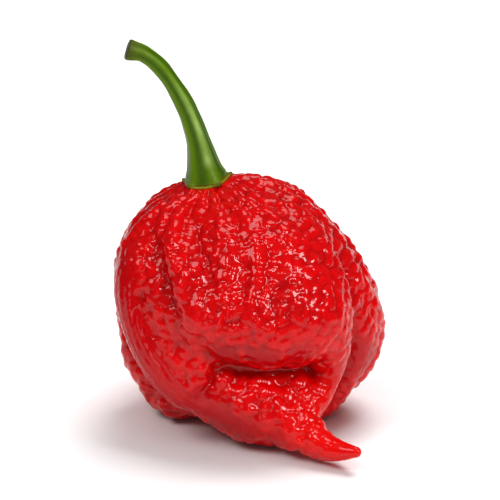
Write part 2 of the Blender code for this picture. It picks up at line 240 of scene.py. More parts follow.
# The calyx, as in the solids, and the stalk, which lies up to half a millimetre further left.
SEAT = (-5.4, 7.0, 30.0)
SEAT_AXIS = (-0.16, 0.13, 1.0)
STALK = (
    (-5.7, 7.2, 31.6),
    (-6.7, 7.8, 36.6),
    (-8.4, 8.5, 41.3),
    (-11.1, 9.0, 45.8),
    (-13.6, 9.1, 48.2),
    (-15.7, 9.1, 48.9),
)
STALK_RADIUS = 1.15
STALK_SIDES = 160  # points in each ring
STALK_STEPS = 24  # rings from one of the stalk's points to the next
STALK_START = 0.9  # the rings begin this far up, over the last ring of the calyx
FLARE = 1.5  # added to the stalk's radius at the calyx
FLARE_LENGTH = 4.6
FLARE_POWER = 1.3
FLARE_TUCK = 0.1  # what the stalk's flare is short of the calyx's foot
LUMP_SHARE = 0.14  # how far the stalk's faint lumps stand out, as a share of its radius
LUMP_BENDS = 0.4
RIDGE_SHARE = 0.05  # and its five ridges
GROOVES = 13
GROOVE_SHARE = 0.012
GROOVE_TURN = 0.35  # radians that the fine grooves turn in a millimetre up the stalk
KNOB = 0.26  # added to the stalk's radius at its cut end
KNOB_LENGTH = 1.2

# The cut end's rings, from its edge in: (share of the edge's radius, rise over it).
CUT_END = ((0.97, 0.16), (0.88, 0.28), (0.74, 0.3), (0.5, 0.16), (0.25, 0.1))

CALYX_RADIUS = 2.85
CALYX_SUNK = 0.05  # into the pod's skin
DRAPE_ROUNDS = 12  # steps that lay the calyx on the pod's skin
TEETH = 5
TEETH_TURN = 0.2  # radians that the first tooth is turned from +X
TOOTH_LENGTH = 0.75
TOOTH_LIFT = 0.4
TOOTH_SHARPNESS = 4

# The calyx from the middle of its underside, out over its toothed margin and up to the foot of the
# stalk. A ring's radius is a share of the margin's, a share of the foot's and a little beside. Its
# height over the skin is a part that is the same all round and a share of the teeth's lift.
CALYX_PROFILE = (
    (0.3, 0.0, 0.0, 0.0, 0.0),
    (0.6, 0.0, 0.0, 0.0, 0.0),
    (0.85, 0.0, 0.0, 0.0, 0.15),
    (1.0, 0.0, -0.12, 0.0, 0.6),
    (1.0, 0.0, -0.03, 0.05, 0.9),
    (1.0, 0.0, 0.0, 0.14, 1.0),
    (1.0, 0.0, -0.02, 0.24, 1.0),
    (1.0, 0.0, -0.1, 0.32, 1.0),
    (1.0, 0.0, -0.25, 0.38, 0.8),
    (0.7, 0.3, 0.0, 0.46, 0.4),
    (0.4, 0.6, 0.0, 0.6, 0.15),
    (0.2, 0.8, 0.0, 0.8, 0.0),
    (0.1, 0.9, 0.0, 1.1, 0.0),
)

# Where the stem's colours lie: how far each of the calyx's rings counts as its margin, how brown
# the stalk turns over its last rings and over the cut end, and where its painted highlight streak
# runs.
MARGIN_RINGS = (1.0, 1.0, 1.0, 1.0, 1.0, 1.0, 1.0, 1.0, 0.7, 0.35, 0.1)
BROWNING_RINGS = 12
BROWN_BEFORE_CUT = 0.5
CUT_RINGS = (0.6, 0.8, 1.0, 1.0, 1.0, 1.0)
HIGHLIGHT_SIDE = 0.42  # radians from the camera's side round to the right
HIGHLIGHT_WIDTH = 0.28
HIGHLIGHT_FOOT = (0.0, 0.08)  # the streak begins and is whole at these shares of the stalk's length
HIGHLIGHT_END = (0.6, 0.3)  # and it is gone and still whole at these

# Colours, in linear red, green and blue.
DEEP_RED = (0.33, 0.000, 0.001)
RIPE_RED = (0.50, 0.000, 0.001)
# Painted light: pimple tops are painted this lighter red, and the darker red between them is
# painted shade.
PIMPLE_TOP_LIGHT_RED = (0.67, 0.001, 0.002)
# Painted sheen: the smooth places are painted this pinker red.
SMOOTH_SHEEN_RED = (0.46, 0.000, 0.003)
# Painted light: the tail is painted this lighter red.
TAIL_LIGHT_RED = (0.74, 0.003, 0.002)
# Painted shade: folds and furrows are painted this darker red.
FOLD_SHADE_RED = (0.32, 0.000, 0.001)
SPECK_RED = (0.52, 0.002, 0.004)
# Painted light and shade: the stalk's ridges are painted lighter and its grooves darker.
GROOVE_SHADE_GREEN = (0.032, 0.080, 0.000)
RIDGE_LIGHT_GREEN = (0.115, 0.205, 0.002)
CLOUD_GREEN = (0.060, 0.135, 0.001)
# Painted highlight: a pale streak down the stalk where the key softbox's glint falls.
HIGHLIGHT_GREEN = (0.300, 0.450, 0.110)
OLIVE_GREEN = (0.100, 0.115, 0.002)
SPECK_GREEN = (0.030, 0.055, 0.004)
MARGIN_YELLOW = (0.300, 0.260, 0.015)
TOOTH_BROWN = (0.050, 0.050, 0.006)
DARK_BARK = (0.012, 0.014, 0.002)
LIGHT_BARK = (0.070, 0.075, 0.018)

# How strongly a colour covers the ones under it, where what it follows is 1.
PIMPLE_TOP_LIGHT_COVER = 0.8
SMOOTH_SHEEN_COVER = 0.7
TAIL_LIGHT_COVER = 0.8
FOLD_SHADE_COVER = 0.7
MARGIN_COVER = 0.7
TOOTH_COVER = 0.8

# A span of what is followed, and the span that it is spread onto.
PIMPLE_TOP_LIGHT_SPAN = ((0.05, 0.35), (0.0, 1.0))
RIPENESS = ((0.35, 0.65), (0.0, 1.0))
RED_SPECKLES = ((0.55, 0.75), (0.0, 0.3))
RED_ROUGHNESS = ((0.3, 0.7), (0.2, 0.3))
GREEN_CLOUDS = ((0.35, 0.7), (0.0, 0.4))
GREEN_SPECKLES = ((0.6, 0.8), (0.0, 0.4))
HIGHLIGHT_PATCHES = ((0.35, 0.6), (0.35, 1.0))
OLIVE_END = ((0.7, 0.98), (0.0, 0.6))
GREEN_ROUGHNESS = ((0.3, 0.7), (0.3, 0.42))

# What the shaders' own sockets are set to.
WAXY_SKIN = {
    "Specular IOR Level": 0.05,
    "Coat Weight": 0.42,
    "Coat Roughness": 0.05,
    "Subsurface Weight": 0.1,
    "Subsurface Radius": (1.0, 0.2, 0.1),
    "Subsurface Scale": 0.0008,
}
STEM_FLESH = {
    "Specular IOR Level": 0.12,
    "Subsurface Weight": 0.1,
    "Subsurface Radius": (0.4, 1.0, 0.2),
    "Subsurface Scale": 0.0006,
}
WHITE_PAPER = {
    "Base Color": (0.92, 0.92, 0.92, 1.0),
    "Roughness": 0.9,
    "Specular IOR Level": 0.1,
}

# The mottling's scales and the grain's depth in each finish, where places are in metres.
CLOUD_DETAIL = 3.0
SPECK_DETAIL = 2.0
RED_MOTTLING = {"Cloud Scale": 150.0, "Speck Scale": 900.0}
GREEN_MOTTLING = {"Cloud Scale": 350.0, "Speck Scale": 2200.0}
PORES = {"Scale": 1400.0, "Smoothness": 0.8}
PORE_SHARE = 0.6
RED_GRAIN = {"Strength": 0.35, "Distance": 0.00012}
GREEN_GRAIN = {"Strength": 0.4, "Distance": 0.0001}

# The softboxes: degrees round from the camera's side to the right, degrees up, metres away, side in
# metres, watts, and what they light.
SOFTBOXES = (
    ("key_softbox", 50.0, 39.0, 0.7, 0.2, 2.6, "pepper"),
    ("top_softbox", 14.0, 60.0, 0.8, 0.17, 1.5, "pepper"),
    ("left_softbox", -62.0, 50.0, 0.8, 0.32, 2.2, "pepper and floor"),
    ("front_softbox", -8.0, 18.0, 0.9, 0.24, 0.4, "pepper"),
    ("back_softbox", 150.0, 66.0, 0.9, 0.4, 2.6, "pepper"),
    ("floor_softbox", 146.0, 67.0, 0.9, 0.5, 7.4, "floor"),
    ("overhead_softbox", 0.0, 90.0, 1.0, 1.4, 5.4, "floor"),
)
LAMP_TARGET = (0.0, -0.002, 0.018)
ROOM_LIGHT = 0.1
FLOOR_REACH = 6.0

# The camera looks along +Y and down, from far enough away for the flat view of a product picture:
# its height in degrees, its distance and the picture's width in metres, and its centre.
CAMERA_HEIGHT = 25.0
CAMERA_DISTANCE = 0.7
PICTURE_CENTRE = (0.2, 0.0, 24.2)
PICTURE_WIDTH = 0.0658
SENSOR_WIDTH = 36.0
NEAREST_SEEN = 0.01
FARTHEST_SEEN = 50.0


def smoothstep(low, high, values):
    """0 up to low, 1 from high on and a smooth rise between them, or a fall where high is less."""
    share = np.clip((values - low) / (high - low), 0.0, 1.0)
    return share * share * (3.0 - 2.0 * share)


def wave(angles):
    """From 1 to 0 and back over each full turn."""
    return 0.5 + 0.5 * np.cos(angles)


def sway(points, bends):
    """A smooth random number around 0 for each point, with so many bends in a millimetre."""
    return np.array([noise.noise(Vector(point) * bends) for point in points])


def curve_through(rows, steps):
    """Points of a Catmull-Rom curve through the rows, which may hold a radius beside x, y and z."""
    rows = np.array(rows, float)
    rows = np.vstack([2 * rows[0] - rows[1], rows, 2 * rows[-1] - rows[-2]])
    found = []
    for a, b, c, d in zip(rows, rows[1:], rows[2:], rows[3:]):
        for t in np.arange(steps) / steps:
            bend = (2 * a - 5 * b + 4 * c - d) * t * t + (3 * b - a - 3 * c + d) * t**3
            found.append(0.5 * (2 * b + (c - a) * t + bend))
    found.append(rows[-2])
    return np.array(found)


CURVES = [curve_through(balls, CURVE_STEPS) for balls in LOBES.values()]
TAIL = list(LOBES).index("tail")
CRESCENT = list(LOBES).index("crescent")


def lobe_skin(points, curve):
    """Each point's distance to a lobe, and the way out.

    The distance is to the nearest of the tapered rods between the lobe's balls.
    """
    nearest = np.full(len(points), np.inf)
    outward = np.zeros((len(points), 3))
    for start, end in zip(curve, curve[1:]):
        way = end[:3] - start[:3]
        length_squared = way @ way
        share = (points - start[:3]) @ way / length_squared
        beside = (share > 0.0) & (share < 1.0)
        share = np.clip(share, 0.0, 1.0)
        offset = points - start[:3] - share[:, None] * way
        from_rod = np.linalg.norm(offset, axis=1)
        widening = end[3] - start[3]
        distance = from_rod - start[3] - share * widening
        slope = offset / np.maximum(from_rod, TINY)[:, None]
        slope = slope - np.outer(beside, way * widening / length_squared)
        nearer = distance < nearest
        nearest[nearer] = distance[nearer]
        outward[nearer] = slope[nearer]
    return nearest, outward


def pod_skin(points):
    """Each point's distance to the skin over all lobes, below zero inside, and the way out."""
    skins = [lobe_skin(points, curve) for curve in CURVES]
    distances = np.array([distance for distance, _ in skins])
    nearest = distances.min(axis=0)
    softness = smoothstep(FOLDS_BELOW, SHOULDERS_ABOVE, points[:, 2])
    blend = FOLD_BLEND + (SHOULDER_BLEND - FOLD_BLEND) * softness
    weights = np.exp((nearest - distances) / blend)
    distance = nearest - blend * np.log(weights.sum(axis=0))
    outward = sum(weight[:, None] * way for weight, (_, way) in zip(weights, skins))
    return distance, outward / np.linalg.norm(outward, axis=1, keepdims=True)


def linked(name, data):
    """A new object in the scene, for a mesh, a light or a camera."""
    shape = bpy.data.objects.new(name, data)
    bpy.context.scene.collection.objects.link(shape)
    return shape


def plain_mesh(shape):
    """The object's evaluated mesh as a plain one. The object itself goes."""
    depsgraph = bpy.context.evaluated_depsgraph_get()
    mesh = bpy.data.meshes.new_from_object(shape.evaluated_get(depsgraph))
    bpy.data.objects.remove(shape)
    return mesh


def rough_pod():
    """One closed mesh around the balls of every lobe, in small squares."""
    bm = bmesh.new()
    for curve in CURVES:
        for x, y, z, radius in curve:
            bmesh.ops.create_icosphere(
                bm,
                subdivisions=BALL_SUBDIVISIONS,
                radius=max(radius, POD_GRAIN),
                matrix=Matrix.Translation((x, y, z)),
            )
    balls = bpy.data.meshes.new("balls")
    bm.to_mesh(balls)
    bm.free()
    guide = linked("balls", balls)
    remesh = guide.modifiers.new("Remesh", "REMESH")
    remesh.mode = "VOXEL"
    remesh.voxel_size = POD_GRAIN
    return plain_mesh(guide)


def vertices_of(mesh):
    """The mesh's points as rows of x, y and z."""
    flat = np.empty(len(mesh.vertices) * 3)
    mesh.vertices.foreach_get("co", flat)
    return flat.reshape(-1, 3)


def edges_of(mesh):
    """The mesh's edges as rows of two points' numbers."""
    flat = np.empty(len(mesh.edges) * 2, int)
    mesh.edges.foreach_get("vertices", flat)
    return flat.reshape(-1, 2)


def move_vertices(mesh, points):
    """Puts the mesh's points at these places."""
    mesh.vertices.foreach_set("co", points.ravel())


def on_skin(points):
    """The points drawn onto the pod's skin."""
    for _ in range(LANDING_ROUNDS):
        distance, outward = pod_skin(points)
        points = points - distance[:, None] * outward
    return points


def settle(points, edges):
    """Evens out the points over the pod's skin, with one of them at the tail's very tip."""
    before, last = CURVES[TAIL][-2:]
    way = last[:3] - before[:3]
    tip = last[:3] + last[3] * way / np.linalg.norm(way)
    foremost = np.linalg.norm(points - tip, axis=1).argmin()
    ends = np.concatenate([edges, edges[:, ::-1]])
    count = np.bincount(ends[:, 0], minlength=len(points))[:, None]
    for _ in range(RELAX_ROUNDS):
        points[foremost] = tip
        distance, outward = pod_skin(points)
        points = points - distance[:, None] * outward
        total = np.array(
            [np.bincount(ends[:, 0], points[ends[:, 1], axis], len(points)) for axis in range(3)]
        )
        pull = total.T / count - points
        along_skin = pull - (pull * outward).sum(axis=1, keepdims=True) * outward
        points = points + RELAX_SHARE * along_skin
    points = on_skin(points)
    points[foremost] = tip
    return points


def furrow_depths(points):
    """How far the furrows sink the skin at each point."""
    depths = np.zeros(len(points))
    for row in FURROWS.values():
        for *place, depth in curve_through(row, FURROW_STEPS):
            away = np.linalg.norm(points - place, axis=1)
            depths = np.maximum(depths, depth * np.exp(-((away / FURROW_WIDTH) ** 2)))
    return depths


def ribs(points):
    """How high the shallow ribs that fan out from the calyx stand at each point, from 0 to 1."""
    around = np.arctan2(points[:, 1] - SEAT[1], points[:, 0] - SEAT[0])
    return wave(RIBS * around + RIB_WANDER * sway(points, RIB_BENDS))


def streaks(points):
    """How high the fine ridges along the smooth roll stand at each point, from 0 to 1."""
    centres = CURVES[CRESCENT][:, :3]
    nearest = np.linalg.norm(points[:, None] - centres[None], axis=2).argmin(axis=1)
    ways = np.gradient(centres, axis=0)
    ways = ways / np.linalg.norm(ways, axis=1, keepdims=True)
    offset = points - centres[nearest]
    inward = np.cross(ways, (0.0, 1.0, 0.0))[nearest]
    around = np.arctan2(offset[:, 1], (offset * inward).sum(axis=1))
    return wave(STREAKS * around + STREAK_WANDER * sway(points, STREAK_BENDS))


def on_crescent(points):
    """1 on the smooth roll down the left, falling to 0 beside it."""
    return smoothstep(*ROLL_EDGE, lobe_skin(points, CURVES[CRESCENT])[0])


def smooth_share(points):
    """1 on the smooth places of the skin, falling to 0 around them."""
    share = on_crescent(points)
    for *place, radius, most in SMOOTH_PLACES:
        away = np.linalg.norm(points - place, axis=1) / radius
        share = np.maximum(share, most * smoothstep(1.0, SMOOTH_CORE, away))
    return share


def from_tip(points):
    """Each point's distance to the last ball of the tail."""
    return np.linalg.norm(points - CURVES[TAIL][-1, :3], axis=1)


def pimpled_share(points):
    """1 where relief is whole, and 0 under the calyx, at the tail's tip and where the pod rests."""
    axis = np.array(SEAT_AXIS) / np.linalg.norm(SEAT_AXIS)
    offset = points - np.array(SEAT)
    from_axis = np.linalg.norm(offset - np.outer(offset @ axis, axis), axis=1)
    clear_of_calyx = smoothstep(CALYX_RADIUS - CALYX_OVERLAP, CALYX_FADE, from_axis)
    clear_of_calyx = np.where(offset[:, 2] > -CALYX_DEPTH, clear_of_calyx, 1.0)
    clear_of_tip = smoothstep(0.0, TIP_FADE, from_tip(points))
    return clear_of_calyx * clear_of_tip * smoothstep(*FLOOR_FADE, points[:, 2])


def set_share(mesh, name, values):
    """Keeps a number for each of the mesh's points, for the nodes to read."""
    attribute = mesh.attributes.get(name) or mesh.attributes.new(name, "FLOAT", "POINT")
    attribute.data.foreach_set("value", np.asarray(values, np.float32))


def placed(mesh, name):
    """The mesh as a named piece in metres, its origin under the pepper's middle."""
    mesh.name = name
    mesh.transform(Matrix.Scale(MM, 4) @ Matrix.Translation((-MIDDLE[0], -MIDDLE[1], 0.0)))
    mesh.shade_smooth()
    return linked(name, mesh)


# Small helpers for node trees.


def add_node(tree, kind, inputs=(), **settings):
    """A new node with its settings, and each input joined to a socket or set to a value."""
    made = tree.nodes.new(kind)
    for key, value in settings.items():
        setattr(made, key, value)
    for key, value in dict(inputs).items():
        if isinstance(value, bpy.types.NodeSocket):
            tree.links.new(value, made.inputs[key])
        else:
            made.inputs[key].default_value = value
    return made


def add_sockets(tree, direction, **kinds):
    """Gives a node group its named inputs or outputs, each of a kind such as Float."""
    for name, kind in kinds.items():
        tree.interface.new_socket(
            name.replace("_", " "), in_out=direction, socket_type="NodeSocket" + kind
        )


def maths(tree, operation, *values, clamp=False):
    """The result of a sum, product or other operation on numbers."""
    inputs = dict(enumerate(values))
    return add_node(
        tree, "ShaderNodeMath", inputs, operation=operation, use_clamp=clamp
    ).outputs[0]


def vector_maths(tree, operation, first, second):
    """The result of an operation on two vectors."""
    inputs = {0: first, 1: second}
    return add_node(tree, "ShaderNodeVectorMath", inputs, operation=operation).outputs[0]


def scaled(tree, vector, factor):
    """The vector, so many times as long."""
    inputs = {0: vector, "Scale": factor}
    return add_node(tree, "ShaderNodeVectorMath", inputs, operation="SCALE").outputs[0]


def stretched(tree, value, span, onto):
    """The value with its span spread over another one, and held at the ends."""
    inputs = {
        "Value": value,
        "From Min": span[0],
        "From Max": span[1],
        "To Min": onto[0],
        "To Max": onto[1],
    }
    return add_node(tree, "ShaderNodeMapRange", inputs).outputs[0]


def noise_over(tree, place, scale, detail):
    """The outputs of a noise texture over the place."""
    inputs = {"Vector": place, "Scale": scale, "Detail": detail}
    return add_node(tree, "ShaderNodeTexNoise", inputs).outputs


def blended(tree, share, first, second):
    """The second colour over the first. A colour is a socket or (red, green, blue)."""
    made = add_node(tree, "ShaderNodeMix", {0: share}, data_type="RGBA")
    for key, value in ((6, first), (7, second)):
        if isinstance(value, bpy.types.NodeSocket):
            tree.links.new(value, made.inputs[key])
        else:
            made.inputs[key].default_value = (*value, 1.0)
    return made.outputs[2]


def layered(tree, colour, layers):
    """The colour under layers of others, each with the share by which it covers."""
    for share, cover in layers:
        colour = blended(tree, share, colour, cover)
    return colour


def piece_share(tree, name):
    """The number that a piece keeps under this name, in a material."""
    return add_node(tree, "ShaderNodeAttribute", attribute_name=name).outputs["Fac"]


def mesh_share(tree, name):
    """The number that a mesh keeps under this name, in geometry nodes."""
    return add_node(
        tree, "GeometryNodeInputNamedAttribute", {"Name": name}, data_type="FLOAT"
    ).outputs["Attribute"]


def pimple_tree():
    """Geometry nodes that scatter pimple centres over a skin and raise a round dome on each."""
    tree = bpy.data.node_groups.new("pimples over a skin", "GeometryNodeTree")
    add_sockets(tree, "INPUT", Skin="Geometry", Spacing="Float", Radius="Float", Height="Float")
    add_sockets(tree, "INPUT", Wander="Float", Seed="Int", Material="Material")
    add_sockets(tree, "OUTPUT", Skin="Geometry")
    given = tree.nodes.new("NodeGroupInput").outputs

    centres = add_node(
        tree,
        "GeometryNodeDistributePointsOnFaces",
        {
            "Mesh": given["Skin"],
            "Distance Min": given["Spacing"],
            "Density Max": MOST_CENTRES,
            "Seed": given["Seed"],
        },
        distribute_method="POISSON",
    ).outputs["Points"]

    # The place each point looks from wanders a little, which turns round domes into uneven ones.
    here = tree.nodes.new("GeometryNodeInputPosition").outputs[0]
    stir = noise_over(tree, here, PIMPLE_BENDS, NOISE_DETAIL)["Color"]
    stir = vector_maths(tree, "SUBTRACT", stir, NOISE_MIDDLE)
    looking_from = vector_maths(tree, "ADD", here, scaled(tree, stir, given["Wander"]))
    near = add_node(
        tree,
        "GeometryNodeProximity",
        {0: centres, "Sample Position": looking_from},
        target_element="POINTS",
    ).outputs["Distance"]

    away = maths(tree, "DIVIDE", near, given["Radius"])
    dome = maths(tree, "SUBTRACT", 1.0, maths(tree, "MULTIPLY", away, away), clamp=True)
    patchy = noise_over(tree, here, PATCH_BENDS, NOISE_DETAIL)["Fac"]
    patchy = stretched(tree, patchy, *PATCH_HEIGHTS)
    rise = maths(tree, "MULTIPLY", dome, given["Height"])
    rise = maths(tree, "MULTIPLY", rise, mesh_share(tree, "pimpled"))
    rise = maths(tree, "MULTIPLY", rise, patchy)
    outward = tree.nodes.new("GeometryNodeInputNormal").outputs[0]

    marked = add_node(
        tree,
        "GeometryNodeStoreNamedAttribute",
        {
            "Geometry": given["Skin"],
            "Name": "risen",
            "Value": maths(tree, "ADD", mesh_share(tree, "risen"), rise),
        },
        data_type="FLOAT",
        domain="POINT",
    ).outputs["Geometry"]
    raised = add_node(
        tree,
        "GeometryNodeSetPosition",
        {"Geometry": marked, "Offset": scaled(tree, outward, rise)},
    ).outputs["Geometry"]
    real = add_node(tree, "GeometryNodeRealizeInstances", {"Geometry": raised}).outputs["Geometry"]
    coloured = add_node(
        tree, "GeometryNodeSetMaterial", {"Geometry": real, "Material": given["Material"]}
    ).outputs["Geometry"]
    add_node(tree, "NodeGroupOutput", {"Skin": coloured})
    return tree


def run_tree(mesh, tree, values):
    """The mesh as the tree makes it with these inputs."""
    shape = linked("skin", mesh)
    modifier = shape.modifiers.new("Pimples", "NODES")
    modifier.node_group = tree
    for item in tree.interface.items_tree:
        if item.in_out == "INPUT" and item.name in values:
            modifier[item.identifier] = values[item.name]
    return plain_mesh(shape)


def smooth_pod():
    """The pod's closed skin over its lobes, in fine squares."""
    mesh = rough_pod()
    move_vertices(mesh, settle(vertices_of(mesh), edges_of(mesh)))
    form = linked("pod_form", mesh)
    finer = form.modifiers.new("Finer", "SUBSURF")
    finer.levels = FINER_LEVELS
    finer.render_levels = FINER_LEVELS
    return plain_mesh(form)


def carve(mesh):
    """Adds ribs, streaks, furrows and valleys, and keeps what the pimples and colours read."""
    points = on_skin(vertices_of(mesh))
    outward = pod_skin(points)[1]
    room = pod_skin(points + CLEAR_WAY * outward)[0] / CLEAR_WAY
    open_skin = smoothstep(*FOLD_ROOM, room)
    covered = pimpled_share(points) * open_skin
    smooth = smooth_share(points)
    strength = covered * (1.0 - SMOOTHING * smooth)
    furrows = furrow_depths(points)
    rise = strength * (RIB_HEIGHT * ribs(points) - VALLEY_DEPTH) - furrows
    rise = rise + covered * on_crescent(points) * STREAK_HEIGHT * streaks(points)
    points = points + rise[:, None] * outward
    move_vertices(mesh, points)
    set_share(mesh, "pimpled", strength)
    # Painted shade: the skin is painted darker where a fold closes in and along the furrows.
    set_share(mesh, "fold_shade", np.maximum(1.0 - open_skin, FURROW_SHADE * furrows))
    # The painted sheen, a pinker red, comes in only where the skin is more than half smooth.
    set_share(mesh, "smooth", np.clip(2.0 * smooth - 1.0, 0.0, 1.0))
    # Painted light on the tail, which is painted a lighter red towards its tip.
    set_share(mesh, "tail", smoothstep(*TAIL_LIGHT_FADE, from_tip(points)))
    set_share(mesh, "risen", np.zeros(len(points)))
    mesh.update()


def red_pod(finish):
    """The red pod: the form of the solids, with ribs, furrows, pimples and finer ones over them."""
    mesh = smooth_pod()
    carve(mesh)
    tree = pimple_tree()
    for relief in (PIMPLES, FINE_PIMPLES):
        mesh = run_tree(mesh, tree, {**relief, "Material": finish})
    points = vertices_of(mesh)
    points[:, 2] = np.maximum(points[:, 2], 0.0)
    move_vertices(mesh, points)
    piece = placed(mesh, "red_pod")
    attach(piece, "root")
    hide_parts("pod")
    return piece


def tooth_shape(angles):
    """1 at the middle of each of the calyx's teeth and 0 between them, at each angle."""
    return wave(TEETH * angles) ** TOOTH_SHARPNESS


def ring_round(centre, radii, angles, across, along):
    """Points round the centre, at angles from the way across to the way along."""
    ring = centre + np.outer(radii * np.cos(angles), across)
    return ring + np.outer(radii * np.sin(angles), along)


def calyx_rings(angles, across, along):
    """Rings from under the calyx out over its margin and up to the foot of the stalk."""
    axis = np.cross(across, along)
    tooth = tooth_shape(angles)
    margin = CALYX_RADIUS + TOOTH_LENGTH * tooth
    foot = STALK_RADIUS + FLARE
    rings = []
    for of_margin, of_foot, beside, level, of_lift in CALYX_PROFILE:
        radii = of_margin * margin + of_foot * foot + beside
        height = level + of_lift * (TOOTH_LIFT * tooth)
        ring = ring_round(np.array(SEAT), radii, angles, across, along)
        for _ in range(DRAPE_ROUNDS):
            over_skin = pod_skin(ring)[0] + CALYX_SUNK - height
            ring = ring - np.outer(over_skin, axis)
        rings.append(ring)
    return rings


def stalk_rings(angles, across, along):
    """Rings up the stalk, from its flared foot to its cut end, and inwards over that."""
    centres = curve_through(STALK, STALK_STEPS)
    steps = np.linalg.norm(np.diff(centres, axis=0), axis=1)
    lengths = np.concatenate([[0.0], np.cumsum(steps)])
    ways = np.gradient(centres, axis=0)
    rings = []
    for centre, way, length in zip(centres, ways, lengths):
        way = way / np.linalg.norm(way)
        across = across - (across @ way) * way
        across = across / np.linalg.norm(across)
        along = np.cross(way, across)
        if length < STALK_START:
            continue
        flare = math.exp(-((length / FLARE_LENGTH) ** FLARE_POWER))
        knob = math.exp(-(((lengths[-1] - length) / KNOB_LENGTH) ** 2))
        lumps = 1.0 + LUMP_SHARE * noise.noise(Vector(centre) * LUMP_BENDS)
        radius = (STALK_RADIUS + (FLARE - FLARE_TUCK) * flare + KNOB * knob) * lumps
        ridges = RIDGE_SHARE * np.cos(TEETH * angles)
        ridges = ridges + GROOVE_SHARE * np.cos(GROOVES * angles + GROOVE_TURN * length)
        rings.append(ring_round(centre, radius * (1.0 + ridges), angles, across, along))
    end = rings[-1].mean(axis=0)
    rim = rings[-1] - end
    for share, rise in CUT_END:
        rings.append(end + share * rim + rise * way)
    return rings


def skin_over(name, rings):
    """A mesh over the rings, closed by a point in the middle of the first and of the last."""
    bm = bmesh.new()
    loops = [[bm.verts.new(point) for point in ring] for ring in rings]
    for under, over in zip(loops, loops[1:]):
        for side in range(STALK_SIDES):
            after = (side + 1) % STALK_SIDES
            bm.faces.new((under[side], under[after], over[after], over[side]))
    for ring, order in ((loops[0], -1), (loops[-1], 1)):
        middle = bm.verts.new(sum((vert.co for vert in ring), Vector()) / STALK_SIDES)
        for side in range(STALK_SIDES):
            bm.faces.new((ring[side], ring[(side + 1) % STALK_SIDES], middle)[::order])
    mesh = bpy.data.meshes.new(name)
    bm.to_mesh(mesh)
    bm.free()
    return mesh


def by_ring(count, first=(), last=()):
    """A number for each point of the rings: the first and last rings' own, and 0 between them."""
    between = [0.0] * (count - len(first) - len(last))
    return np.repeat([*first, *between, *last], STALK_SIDES)


def stem_shares(angles, lower, upper):
    """Names and numbers for the stem's colours to follow.

    A row has a name, a number for each point of the rings, and those of the two closing points.
    """
    rings = lower + upper
    turn = np.tile(angles, len(rings))
    up = np.repeat([-1.0] * len(lower) + list(np.linspace(0.0, 1.0, len(upper))), STALK_SIDES)
    browning = np.linspace(0.0, BROWN_BEFORE_CUT, BROWNING_RINGS)
    cut = by_ring(len(rings), last=(*browning, *CUT_RINGS))
    rim = by_ring(len(rings), first=MARGIN_RINGS)
    sides = np.concatenate([ring - ring.mean(axis=0) for ring in rings])
    facing = np.arctan2(sides[:, 0], -sides[:, 1])
    # A painted highlight: a paler streak down the side of the stalk where the key softbox's glint
    # falls.
    painted_highlight = np.exp(-(((facing - HIGHLIGHT_SIDE) / HIGHLIGHT_WIDTH) ** 2))
    painted_highlight = painted_highlight * smoothstep(*HIGHLIGHT_END, up) * smoothstep(*HIGHLIGHT_FOOT, up)
    return (
        ("up", up, -1.0, 1.0),
        ("cut", cut, 0.0, 1.0),
        ("rim", rim, 1.0, 0.0),
        ("ridge", wave(TEETH * turn), 0.0, 0.0),
        ("tooth", tooth_shape(turn) * rim, 0.0, 0.0),
        ("painted_highlight", painted_highlight, 0.0, 0.0),
    )


def green_stem(finish):
    """The green calyx and stalk in one piece, from the calyx's underside up to the cut end."""
    axis = Vector(SEAT_AXIS).normalized()
    first_tooth = Vector((math.cos(TEETH_TURN), math.sin(TEETH_TURN), 0.0))
    along = np.array(axis.cross(first_tooth).normalized())
    across = np.cross(along, np.array(axis))
    angles = np.arange(STALK_SIDES) * (2.0 * math.pi / STALK_SIDES)
    lower = calyx_rings(angles, across, along)
    upper = stalk_rings(angles, across, along)
    mesh = skin_over("green_stem", lower + upper)
    for name, values, at_foot, at_end in stem_shares(angles, lower, upper):
        set_share(mesh, name, np.concatenate([values, (at_foot, at_end)]))
    mesh.materials.append(finish)
    piece = placed(mesh, "green_stem")
    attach(piece, "root")
    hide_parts("stem_and_calyx")
    return piece


def new_finish(name, values):
    """A new material, its node tree and its shader, with the shader's own sockets set."""
    finish = bpy.data.materials.new(name)
    finish.use_nodes = True
    tree = finish.node_tree
    shader = tree.nodes["Principled BSDF"]
    for key, value in values.items():
        shader.inputs[key].default_value = value
    return finish, tree, shader


def mottling_group():
    """A shader group of soft clouds and fine specks, each a number around a half."""
    group = bpy.data.node_groups.new("natural mottling", "ShaderNodeTree")
    add_sockets(group, "INPUT", Place="Vector", Cloud_Scale="Float", Speck_Scale="Float")
    add_sockets(group, "OUTPUT", Clouds="Float", Specks="Float")
    given = group.nodes.new("NodeGroupInput").outputs
    clouds = noise_over(group, given["Place"], given["Cloud Scale"], CLOUD_DETAIL)["Fac"]
    specks = noise_over(group, given["Place"], given["Speck Scale"], SPECK_DETAIL)["Fac"]
    add_node(group, "NodeGroupOutput", {"Clouds": clouds, "Specks": specks})
    return group


def mottled(tree, group, place, scales):
    """The clouds and the specks of a mottling group that is placed in a material."""
    made = add_node(tree, "ShaderNodeGroup", {"Place": place, **scales}, node_tree=group)
    return made.outputs["Clouds"], made.outputs["Specks"]


def finish_surface(tree, shader, colour, roughness, height, grain):
    """Joins a material's colour, roughness and grain to its shader."""
    bump = add_node(tree, "ShaderNodeBump", {"Height": height, **grain})
    tree.links.new(colour, shader.inputs["Base Color"])
    tree.links.new(roughness, shader.inputs["Roughness"])
    tree.links.new(bump.outputs["Normal"], shader.inputs["Normal"])


